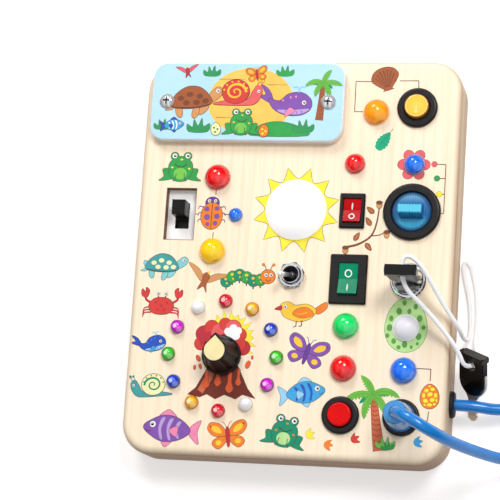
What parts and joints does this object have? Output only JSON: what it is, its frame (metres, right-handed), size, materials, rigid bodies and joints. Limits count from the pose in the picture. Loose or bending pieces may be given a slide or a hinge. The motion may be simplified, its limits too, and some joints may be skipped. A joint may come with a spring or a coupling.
{
  "type": "wooden light-up busy board",
  "caption": "Pine busy board for a small child: switches, buttons, a key lock, a jack plug and a selector knob work lamps on its face.",
  "frame": {"origin": "middle of the board's outline, in the plane of the rim on its back", "axes": "the board lies on its back: +Z out of its face, +Y towards the edge with the battery cover, +X to the right as seen from in front of the face"},
  "size_m": [0.2664, 0.24, 0.0749],
  "materials": {
    "pine": "sanded, clear matt lacquer",
    "back_print": "thin plywood with a printed chart",
    "cover_print": "painted pale blue with a printed scene",
    "steel": "bright zinc plated",
    "brass": "turned",
    "tray_black": "moulded",
    "cell_wrap": "plain film sleeve",
    "spring_steel": "nickel plated",
    "lens_red": "polished clear moulding",
    "lens_yellow": "polished clear moulding",
    "lens_orange": "polished clear moulding",
    "lens_green": "polished clear moulding",
    "lens_blue": "polished clear moulding",
    "lens_frosted": "frosted clear moulding",
    "led_red": "tinted clear resin",
    "led_gold": "tinted clear resin",
    "led_blue": "tinted clear resin",
    "led_green": "tinted clear resin",
    "led_magenta": "tinted clear resin",
    "led_white": "clear resin",
    "sun_white": "opal moulding",
    "circuit_green": "solder mask",
    "plate_white": "smooth",
    "black_plastic": "satin moulding",
    "toggle_blue": "moulded",
    "chrome": "polished plating",
    "rocker_red": "clear red moulding",
    "rocker_green": "clear green moulding",
    "rotary_blue": "clear blue moulding",
    "cap_yellow": "moulded",
    "cap_red": "moulded",
    "cylinder_dark": "black",
    "key_metal": "nickel plated",
    "key_black": "moulded",
    "string_white": "round braided cord",
    "knob_black": "satin moulding",
    "pointer_cream": "moulded",
    "switch_body": "moulded",
    "nut_plastic": "moulded",
    "plug_blue": "soft clear moulding",
    "cable_blue": "smooth sheath",
    "rubber_black": "moulded"
  },
  "bodies": {
    "board": {"wood_housing": "pine", "back_panel": "back_print", "cover_plate": "cover_print", "cover_screws": "steel", "cover_inserts": "brass", "battery_tray": "tray_black", "battery_cells": "cell_wrap", "battery_contacts": "spring_steel", "dome_lenses_red": "lens_red", "dome_lens_yellow": "lens_yellow", "dome_lens_orange": "lens_orange", "dome_lens_green": "lens_green", "dome_lenses_blue": "lens_blue", "dome_lens_frosted": "lens_frosted", "ring_leds_red": "led_red", "ring_leds_gold": "led_gold", "ring_leds_blue": "led_blue", "ring_leds_green": "led_green", "ring_leds_magenta": "led_magenta", "ring_leds_white": "led_white", "sun_lamp_dome": "sun_white", "circuit_boards": "circuit_green", "slide_switch_plate": "plate_white", "slide_switch_body": "black_plastic", "toggle_body": "toggle_blue", "toggle_bushing": "chrome", "toggle_washer": "chrome", "toggle_nut": "chrome", "red_rocker_bezel": "black_plastic", "green_rocker_bezel": "black_plastic", "rotary_bezel": "black_plastic", "yellow_button_bezel": "black_plastic", "red_button_bezel": "black_plastic", "yellow_button_spring": "spring_steel", "red_button_spring": "spring_steel", "key_lock_barrel": "chrome", "spare_key_blade": "key_metal", "spare_key_bow": "key_black", "key_string": "string_white", "selector_switch": "switch_body", "panel_nuts": "nut_plastic", "jack_socket": "black_plastic", "blue_cable": "cable_blue", "side_grommet": "rubber_black"},
    "slide_switch": {"slide_switch_slider": "black_plastic"},
    "toggle": {"toggle_lever": "chrome"},
    "red_rocker": {"red_rocker_button": "rocker_red"},
    "green_rocker": {"green_rocker_button": "rocker_green"},
    "rotary": {"rotary_knob": "rotary_blue"},
    "selector": {"pointer_knob": "knob_black", "pointer_insert": "pointer_cream", "selector_shaft": "steel"},
    "yellow_button": {"yellow_button_cap": "cap_yellow"},
    "red_button": {"red_button_cap": "cap_red"},
    "key": {"key_lock_cylinder": "cylinder_dark", "key_blade": "key_metal", "key_bow": "key_black"},
    "plug": {"jack_plug_pin": "chrome", "jack_plug_shell": "plug_blue"}
  },
  "joints": [
    {"name": "slide_switch_travel", "type": "slide", "parent": "board", "child": "slide_switch", "axis": [0, -1, 0], "range_m": [0, 0.0064]},
    {"name": "toggle_tilt", "type": "hinge", "parent": "board", "child": "toggle", "pos_m": [0.001, -0.0115, 0.0306], "axis": [-0.454, 0.891, 0], "range_deg": [0, 34]},
    {"name": "red_rocker_tilt", "type": "hinge", "parent": "board", "child": "red_rocker", "pos_m": [0.0347, 0.028, 0.0306], "axis": [1, 0, 0], "range_deg": [0, 18]},
    {"name": "green_rocker_tilt", "type": "hinge", "parent": "board", "child": "green_rocker", "pos_m": [0.0347, -0.013, 0.0306], "axis": [1, 0, 0], "range_deg": [0, 18]},
    {"name": "rotary_turn", "type": "hinge", "parent": "board", "child": "rotary", "pos_m": [0.07, 0.028, 0.0317], "axis": [0, 0, 1], "range_deg": [-45, 45]},
    {"name": "selector_turn", "type": "hinge", "parent": "board", "child": "selector", "pos_m": [-0.0378, -0.0604, 0.0305], "axis": [0, 0, -1], "range_deg": [0, 330]},
    {"name": "yellow_button_push", "type": "slide", "parent": "board", "child": "yellow_button", "axis": [0, 0, -1], "range_m": [0, 0.0025], "stiffness_N_per_m": 300, "springref_m": -0.001, "deforming": ["yellow_button_spring"]},
    {"name": "red_button_push", "type": "slide", "parent": "board", "child": "red_button", "axis": [0, 0, -1], "range_m": [0, 0.0025], "stiffness_N_per_m": 300, "springref_m": -0.001, "deforming": ["red_button_spring"]},
    {"name": "key_turn", "type": "hinge", "parent": "board", "child": "key", "pos_m": [0.07, -0.013, 0.0346], "axis": [0, 0, -1], "range_deg": [0, 90], "deforming": ["key_string"]},
    {"name": "plug_pull", "type": "slide", "parent": "board", "child": "plug", "axis": [0, 0, 1], "range_m": [0, 0.02], "deforming": ["blue_cable"]}
  ]
}
